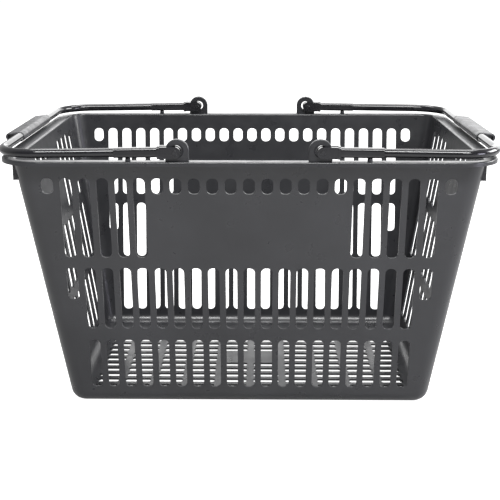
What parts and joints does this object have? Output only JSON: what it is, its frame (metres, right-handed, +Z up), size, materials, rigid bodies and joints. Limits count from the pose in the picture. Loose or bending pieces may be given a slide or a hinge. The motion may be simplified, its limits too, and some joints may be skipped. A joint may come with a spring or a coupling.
{
  "type": "shopping basket",
  "caption": "Slotted plastic shopping basket with sloping walls, a flanged rim and folding U-shaped bail handles with wide grips.",
  "frame": {"origin": "middle of the resting face under the base", "axes": "+X along the long side of the basket, +Z up towards the rim"},
  "size_m": [0.4778, 0.3332, 0.2689],
  "materials": {
    "body": "satin moulded polypropylene",
    "bail": "glossy moulded plastic",
    "grip": "fine-textured plastic",
    "pin": "smooth moulded plastic"
  },
  "bodies": {
    "basket": {"basket_body": "body"},
    "left_bail": {"bail_left": "bail", "grip_left": "grip", "pivot_pin_front_left": "pin", "pivot_pin_back_left": "pin"},
    "right_bail": {"bail_right": "bail", "grip_right": "grip", "pivot_pin_front_right": "pin", "pivot_pin_back_right": "pin"}
  },
  "joints": [
    {"name": "left_bail_hinge", "type": "hinge", "parent": "basket", "child": "left_bail", "pos_m": [-0.0652, 0, 0.2573], "axis": [0, 1, 0], "range_deg": [0, 108]},
    {"name": "right_bail_hinge", "type": "hinge", "parent": "basket", "child": "right_bail", "pos_m": [0.0652, 0, 0.2573], "axis": [0, -1, 0], "range_deg": [0, 108]}
  ]
}
